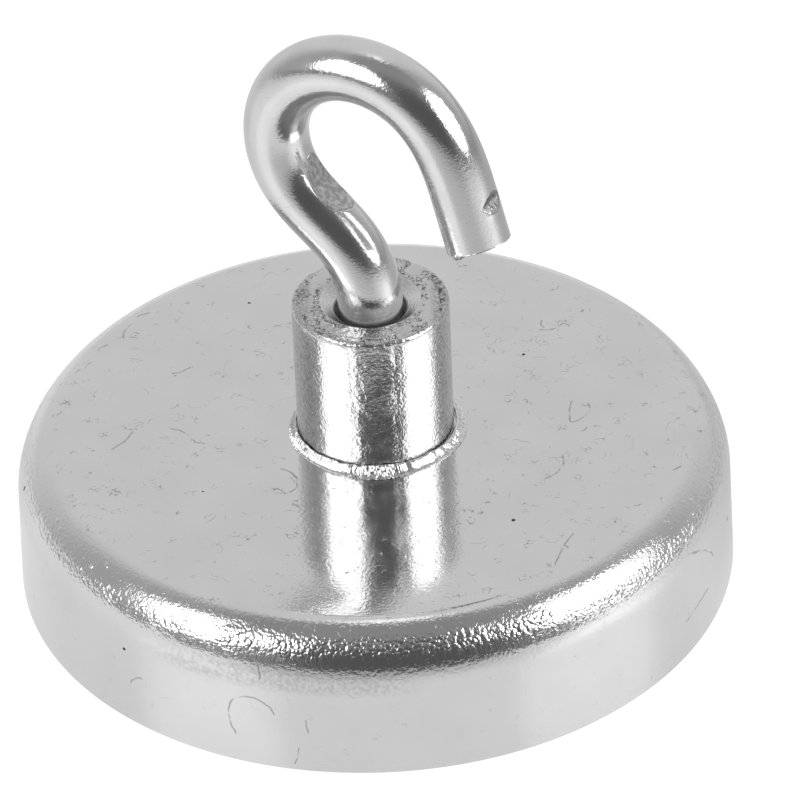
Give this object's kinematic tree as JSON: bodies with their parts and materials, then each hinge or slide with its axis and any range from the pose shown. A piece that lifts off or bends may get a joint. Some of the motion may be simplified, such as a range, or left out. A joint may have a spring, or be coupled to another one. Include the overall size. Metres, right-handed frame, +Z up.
{
  "type": "pot magnet with hook",
  "caption": "Round steel pot magnet with a threaded bush welded on its roof and an open bent-wire hook screwed into it.",
  "frame": {"origin": "centre of the contact face, on the plane of the pot's rim", "axes": "+Z up from the contact face along the pot's axis, +X towards the hook's free tip, the hook is bent in the XZ plane"},
  "size_m": [0.06, 0.06, 0.0514],
  "materials": {
    "plated_pot": "satin bright nickel plate over steel, lightly scratched and pitted",
    "magnet_coat": "nickel coat on a sintered magnet, scuffed",
    "potting_resin": "dark cast resin",
    "turned_bush": "turned and plated, satin with fine pitting",
    "weld_metal": "bright grainy weld flash",
    "plated_wire": "bright plated round wire with bending marks"
  },
  "bodies": {
    "root": {"pot": "plated_pot", "magnet": "magnet_coat", "resin_ring": "potting_resin", "bush": "turned_bush", "weld_flash": "weld_metal", "hook": "plated_wire"}
  },
  "joints": []
}
